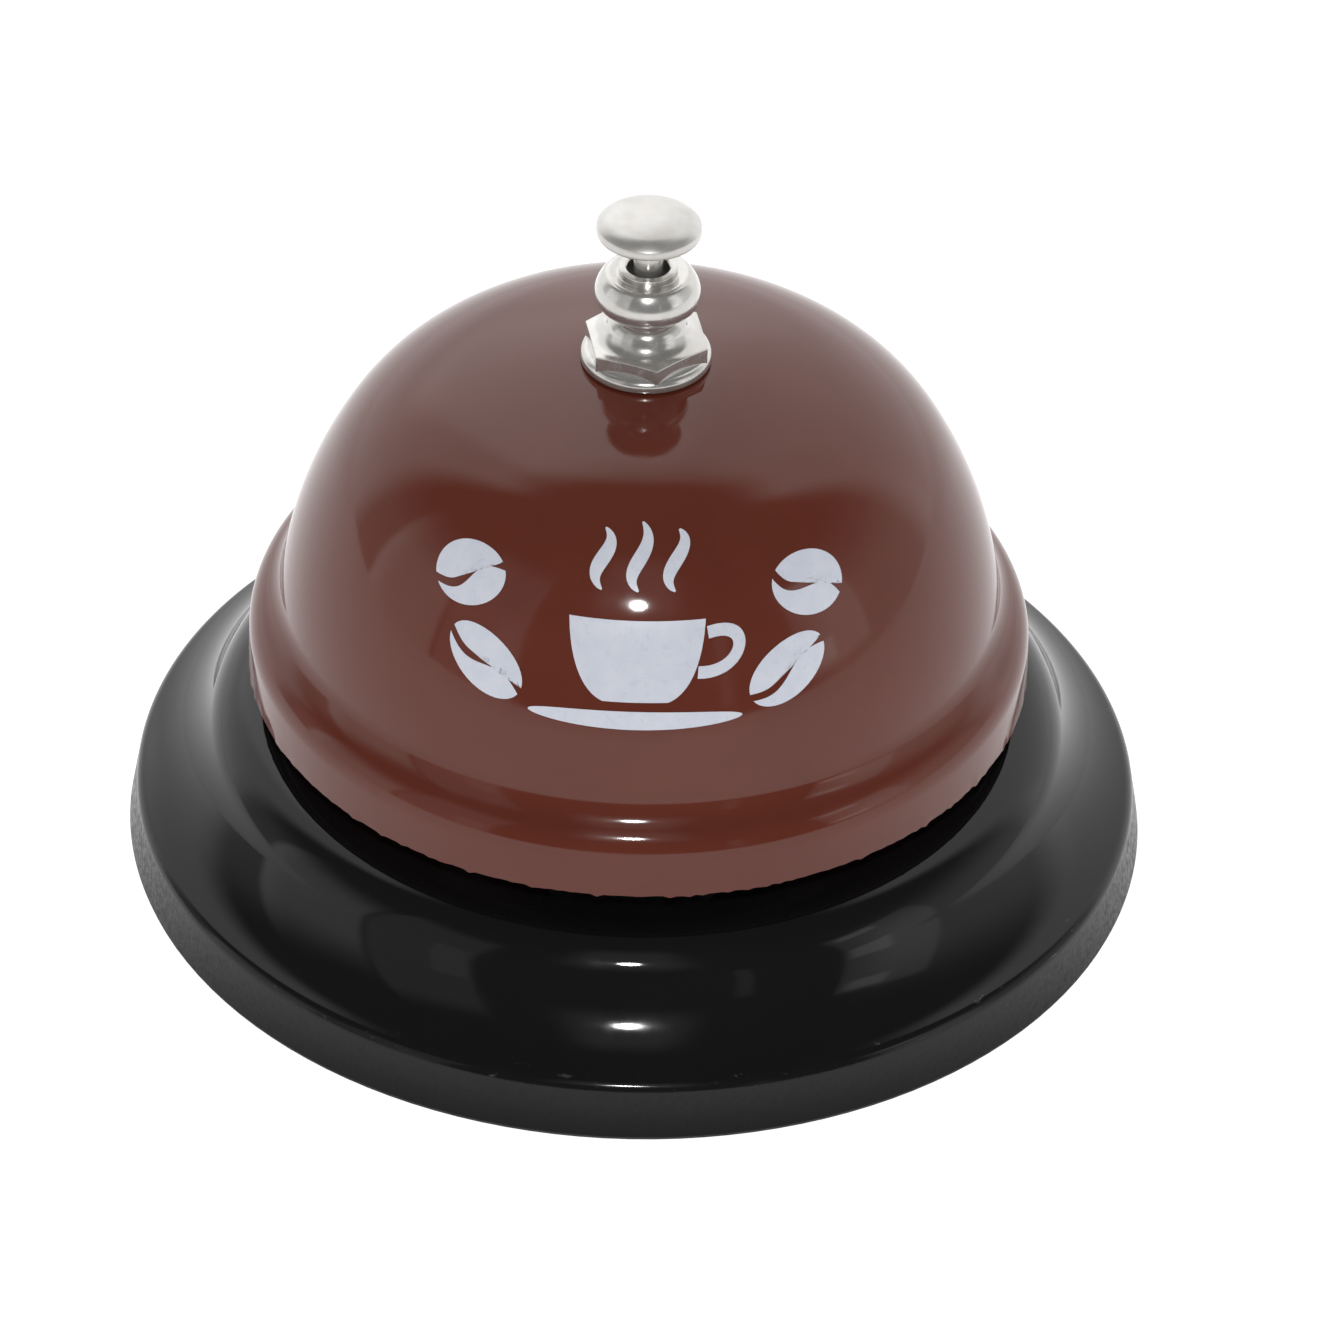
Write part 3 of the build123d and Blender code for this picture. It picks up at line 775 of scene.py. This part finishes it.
def cut_in_cells(work):
    """Cuts flat faces along a square grid, so that they can follow the bell's curve."""
    for axis, reach in ((0, PRINT_HALF_WIDTH), (1, PRINT_HALF_HEIGHT)):
        way = Vector((0, 0, 0))
        way[axis] = 1
        last = reach * PRINT_CELLS_PER_MM
        for step in range(-last, last + 1):
            cut = way * (step / PRINT_CELLS_PER_MM)
            geometry = work.verts[:] + work.edges[:] + work.faces[:]
            bmesh.ops.bisect_plane(work, geom=geometry, plane_co=cut, plane_no=way, dist=1e-5)


def make_print(material):
    """A plain coffee sign, printed thinly on the bell's near side, and wrapped onto its curve."""
    shapes = cup_shapes()
    for side in (-1, 1):
        for centre, turn in (((12.4, -4.6), 28), ((14.2, 1.6), -24)):
            shapes += bean_shapes((side * centre[0], centre[1]), side * turn)
    mesh = bpy.data.meshes.new("bell_print")
    work = bmesh.new()
    for shape in shapes:
        work.faces.new([work.verts.new((p.x, p.y, 0)) for p in shape])
    bmesh.ops.triangulate(work, faces=work.faces[:], ngon_method="EAR_CLIP")
    cut_in_cells(work)
    outline = bell_outline()
    # The print's middle lies a little below the place where the bell reaches this slope.
    top = 0.0
    while outline.along(top)[2] > -radians(PRINT_TOP_SLOPE):
        top += 0.05
    for vert in work.verts:
        across, up = vert.co.x, vert.co.y
        radius, height, heading = outline.along(top + PRINT_DROP - up)
        angle = across / radius - pi / 2
        spot = Vector((radius * cos(angle), radius * sin(angle), height))
        out = Vector((-sin(heading) * cos(angle), -sin(heading) * sin(angle), cos(heading)))
        vert.co = (spot + out * PRINT_THICKNESS) * MM
    bmesh.ops.recalc_face_normals(work, faces=work.faces[:])
    work.to_mesh(mesh)
    work.free()
    mesh.shade_smooth()
    return add_object("bell_print", mesh, material, "base", "white_print")


# ---------------------------------------------------------------- floor and light

FLOOR_HALF_SIZE = 15
FLOOR_GLOW = 0.82


def make_floor():
    """A pale floor that glows a little, so that shadows on it are faint. It is clear from below."""
    mesh = bpy.data.meshes.new("floor")
    signs = ((-1, -1), (1, -1), (1, 1), (-1, 1))
    corners = [(x * FLOOR_HALF_SIZE, y * FLOOR_HALF_SIZE, 0) for x, y in signs]
    mesh.from_pydata(corners, [], [(0, 1, 2, 3)])
    floor = bpy.data.objects.new("floor", mesh)
    bpy.context.collection.objects.link(floor)
    s = Surface("pale_floor", (0.5, 0.5, 0.5), roughness=0.9)
    s.shader.inputs["Emission Color"].default_value = (1, 1, 1, 1)
    s.shader.inputs["Emission Strength"].default_value = FLOOR_GLOW
    side = s.node("ShaderNodeNewGeometry").outputs["Backfacing"]
    clear = s.node("ShaderNodeBsdfTransparent")
    one_sided = s.node("ShaderNodeMixShader")
    s.link(side, one_sided.inputs[0])
    s.link(s.shader.outputs[0], one_sided.inputs[1])
    s.link(clear.outputs[0], one_sided.inputs[2])
    s.link(one_sided.outputs[0], s.tree.nodes["Material Output"].inputs["Surface"])
    mesh.materials.append(s.material)


class Surround:
    """The light all round, as soft-edged panels placed by azimuth and elevation in degrees.

    Azimuth 0 is the near side, 90 the right side and 180 the far side.
    """

    def __init__(self, ambient):
        """ambient is the strength of the light where no panel is."""
        world = bpy.data.worlds.new("surround")
        bpy.context.scene.world = world
        world.use_nodes = True
        self.tree = world.node_tree
        way = self.tree.nodes.new("ShaderNodeTexCoord").outputs["Generated"]
        split = self.tree.nodes.new("ShaderNodeSeparateXYZ")
        self.link(way, split.inputs[0])
        near = self.calculate("MULTIPLY", split.outputs["Y"], -1.0)
        self.azimuth = self.calculate("ARCTAN2", split.outputs["X"], near)
        self.elevation = self.calculate("ARCSINE", split.outputs["Z"])
        self.total = ambient

    def link(self, source, target):
        """Sets a socket to a number, or links it to another node's output."""
        if isinstance(source, float):
            target.default_value = source
        else:
            self.tree.links.new(source, target)

    def calculate(self, operation, *terms):
        """The result of a math node on these terms."""
        made = self.tree.nodes.new("ShaderNodeMath")
        made.operation = operation
        for term, socket in zip(terms, made.inputs):
            self.link(term, socket)
        return made.outputs[0]

    def fade(self, value, start, end):
        """1 up to start, fading to 0 at end, both in degrees."""
        ranged = self.tree.nodes.new("ShaderNodeMapRange")
        ranged.interpolation_type = "SMOOTHSTEP"
        ranged.inputs["To Min"].default_value = 1
        ranged.inputs["To Max"].default_value = 0
        ranged.inputs["From Min"].default_value = radians(start)
        ranged.inputs["From Max"].default_value = radians(end)
        self.link(value, ranged.inputs["Value"])
        return ranged.outputs["Result"]

    def panel(self, azimuth, elevation, half_width, half_height, soft_side, soft_top, strength):
        """Adds a panel that is even inside its half width and height, and fades out over the soft edge."""
        turned = self.calculate("SUBTRACT", self.azimuth, radians(azimuth))
        turned = self.calculate("WRAP", turned, pi, -pi)
        sideways = self.calculate("ABSOLUTE", turned)
        raised = self.calculate("SUBTRACT", self.elevation, radians(elevation))
        upwards = self.calculate("ABSOLUTE", raised)
        across = self.fade(sideways, half_width, half_width + soft_side)
        over = self.fade(upwards, half_height, half_height + soft_top)
        mask = self.calculate("MULTIPLY", across, over)
        glow = self.calculate("MULTIPLY", mask, float(strength))
        self.total = self.calculate("ADD", self.total, glow)

    def finish(self, seen):
        """Lights the scene with the panels. The camera itself sees an even glow of strength seen."""
        background = self.tree.nodes["Background"]
        background.inputs["Color"].default_value = (1, 1, 1, 1)
        rays = self.tree.nodes.new("ShaderNodeLightPath")
        plain = self.tree.nodes.new("ShaderNodeMix")
        self.link(rays.outputs["Is Camera Ray"], plain.inputs["Factor"])
        self.link(self.total, plain.inputs["A"])
        self.link(seen, plain.inputs["B"])
        self.link(plain.outputs["Result"], background.inputs["Strength"])


AMBIENT_LIGHT = 0.15
BACKDROP = 1.0
FLASH_DIAMETER = 0.042
FLASH_POWER = 1.2
FLASH_ELEVATION = radians(45)
FLASH_DISTANCE = 0.6


def make_surround():
    """White panels behind and at the sides, a window on the right and soft light from above."""
    surround = Surround(AMBIENT_LIGHT)
    # The wall behind, and a brighter patch high up on it.
    surround.panel(180, 15, 55, 42, 16, 13, 1.2)
    surround.panel(-165, 42, 16, 18, 14, 10, 0.45)
    # The left: a white panel, a grey one in front of it with a lighter strip, and a glow behind.
    surround.panel(-83, 0, 14, 14, 3, 30, 0.9)
    surround.panel(-52, 10, 13, 30, 2, 14, 0.4)
    surround.panel(-44, 12, 4, 9, 1, 3, 0.2)
    surround.panel(-107, 0, 8, 15, 10, 25, 0.35)
    # The right: a wide panel, a window with a bright bar at its foot and head, and a thin strip.
    surround.panel(90, 0, 22, 12, 16, 36, 0.65)
    surround.panel(66, 19, 12, 15, 2, 3, 0.5)
    surround.panel(60, 7, 4, 2, 3, 2, 0.8)
    surround.panel(61, 31, 4, 2, 3, 2, 0.8)
    surround.panel(28, 14, 1, 9, 2, 3, 0.3)
    # Above the camera, and the ceiling all round.
    surround.panel(0, 52, 8, 8, 16, 14, 0.45)
    surround.panel(0, 90, 360, 12, 0, 26, 0.3)
    surround.finish(BACKDROP)


def make_flash():
    """A small bright disk just above the camera."""
    flash = bpy.data.lights.new("flash", "AREA")
    flash.shape = "DISK"
    flash.size = FLASH_DIAMETER
    flash.energy = FLASH_POWER
    lamp = bpy.data.objects.new("flash", flash)
    direction = Vector((0, -cos(FLASH_ELEVATION), sin(FLASH_ELEVATION)))
    lamp.location = direction * FLASH_DISTANCE
    lamp.rotation_mode = "QUATERNION"
    lamp.rotation_quaternion = direction.to_track_quat("Z", "Y")
    bpy.context.collection.objects.link(lamp)


# ---------------------------------------------------------------- the scene

def paint_nodes():
    """Every CAD node gets the material of its slot in the record."""
    finishes = {
        make.__name__: make()
        for make in (brown_enamel, black_enamel, nickel_plate, zinc_plate, turned_steel,
                     spring_steel, bush_brass, foot_rubber, fibre)
    }
    for part in frame["record"]["subparts"]:
        node = nodes[part["node"]]
        node.data.materials.clear()
        node.data.materials.append(finishes[part["material_slot"]])
    return finishes


bpy.context.scene.view_settings.view_transform = "Standard"
make_camera()
make_floor()
make_surround()
make_flash()
finishes = paint_nodes()
make_bell(finishes["brown_enamel"])
make_base(finishes["black_enamel"])
make_finial(finishes["nickel_plate"])
make_button(rubbed_nickel())
make_spring(finishes["spring_steel"])
make_print(white_print())
